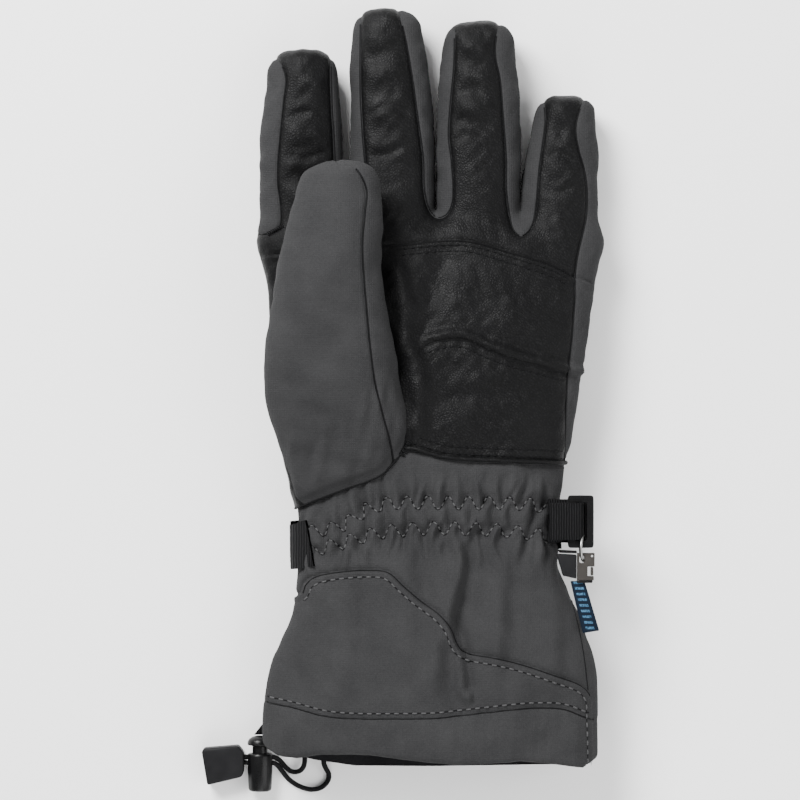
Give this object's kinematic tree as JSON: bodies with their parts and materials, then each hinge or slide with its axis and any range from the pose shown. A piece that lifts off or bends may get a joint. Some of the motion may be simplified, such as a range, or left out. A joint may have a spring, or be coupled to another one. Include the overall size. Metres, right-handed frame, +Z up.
{
  "type": "ski glove",
  "caption": "Insulated left-hand ski glove with leather palm, softshell back, gauntlet cuff with drawcord, wrist strap and small snap clip.",
  "frame": {"origin": "on the table under the middle of the glove's box, drawcord pieces left out", "axes": "+X from the thumb side to the little finger side, +Y from the cuff to the fingertips, +Z up out of the palm"},
  "size_m": [0.156, 0.3098, 0.0611],
  "materials": {
    "softshell": "matt stretch weave",
    "leather": "fine pebble grain, satin",
    "fleece": "brushed",
    "insulation": "soft wadding",
    "cuff_lining": "smooth taffeta",
    "webbing": "ribbed weave",
    "elastic": "ribbed",
    "cord": "braided",
    "black_plastic": "fine moulded texture",
    "grey_plastic": "moulded, satin",
    "steel": "drawn wire",
    "label": "woven tape"
  },
  "bodies": {
    "hand": {"palm_leather": "leather", "palm_overlay": "leather", "palm_heel": "leather", "back_panel": "softshell", "thumb_gusset": "leather", "index_side_panel": "softshell", "fourchette_index_middle": "softshell", "fourchette_middle_ring": "softshell", "fourchette_ring_little": "softshell", "little_side_panel": "softshell", "hand_insulation": "insulation", "hand_lining": "fleece", "wrist_piping": "leather", "wrist_front": "softshell", "wrist_back": "softshell", "wrist_elastic": "elastic", "gauntlet_front": "softshell", "gauntlet_overlay": "softshell", "gauntlet_back": "softshell", "gauntlet_lining": "cuff_lining", "hem_binding": "softshell", "hem_cord": "cord", "wrist_strap": "webbing", "strap_anchor": "webbing", "buckle_loop": "webbing", "cord_tape": "webbing", "cord_lock_body": "black_plastic", "cord_lock_spring": "steel", "drawcord_short": "cord", "drawcord_long": "cord", "cord_pull": "black_plastic"},
    "index_tip": {"index_tip_leather": "leather", "index_tip_fourchette": "softshell", "index_tip_back": "softshell", "index_tip_liner": "fleece"},
    "middle_tip": {"middle_tip_leather": "leather", "middle_tip_fourchette": "softshell", "middle_tip_back": "softshell", "middle_tip_liner": "fleece"},
    "ring_tip": {"ring_tip_leather": "leather", "ring_tip_fourchette": "softshell", "ring_tip_back": "softshell", "ring_tip_liner": "fleece"},
    "little_tip": {"little_tip_leather": "leather", "little_tip_fourchette": "softshell", "little_tip_back": "softshell", "little_tip_liner": "fleece"},
    "thumb": {"thumb_front": "softshell", "thumb_side_strip": "softshell", "thumb_underside": "leather", "thumb_liner": "fleece"},
    "buckle": {"buckle": "black_plastic"},
    "clip": {"clip_ring": "steel", "clip_body": "grey_plastic", "clip_tab": "black_plastic", "label": "label"},
    "gate": {"clip_gate": "grey_plastic"},
    "plunger": {"cord_lock_plunger": "black_plastic"}
  },
  "joints": [
    {"name": "index_flex", "type": "hinge", "parent": "hand", "child": "index_tip", "pos_m": [-0.0507, 0.095, 0.02], "axis": [1, 0, 0], "range_deg": [0, 70]},
    {"name": "middle_flex", "type": "hinge", "parent": "hand", "child": "middle_tip", "pos_m": [-0.0153, 0.102, 0.0205], "axis": [1, 0, 0], "range_deg": [0, 70]},
    {"name": "ring_flex", "type": "hinge", "parent": "hand", "child": "ring_tip", "pos_m": [0.0193, 0.097, 0.02], "axis": [1, 0, 0], "range_deg": [0, 70]},
    {"name": "little_flex", "type": "hinge", "parent": "hand", "child": "little_tip", "pos_m": [0.0516, 0.084, 0.0185], "axis": [1, 0, 0], "range_deg": [0, 70]},
    {"name": "thumb_lift", "type": "hinge", "parent": "hand", "child": "thumb", "pos_m": [-0.03, -0.0335, 0.038], "axis": [0.8944, 0.4472, 0], "range_deg": [0, 40]},
    {"name": "buckle_tilt", "type": "hinge", "parent": "hand", "child": "buckle", "pos_m": [0.0549, -0.0522, 0.0335], "axis": [0, -1, 0], "range_deg": [0, 50]},
    {"name": "clip_swivel", "type": "hinge", "parent": "buckle", "child": "clip", "pos_m": [0.059, -0.0611, 0.0335], "axis": [-1, 0, 0], "range_deg": [0, 50]},
    {"name": "clip_gate_press", "type": "hinge", "parent": "clip", "child": "gate", "pos_m": [0.06295, -0.07, 0.0335], "axis": [0, 0, -1], "range_deg": [0, 18], "stiffness_Nm_per_rad": 0.004},
    {"name": "cord_lock_press", "type": "slide", "parent": "hand", "child": "plunger", "axis": [0, -1, 0], "range_m": [0, 0.003], "stiffness_N_per_m": 250, "deforming": ["cord_lock_spring"]}
  ]
}
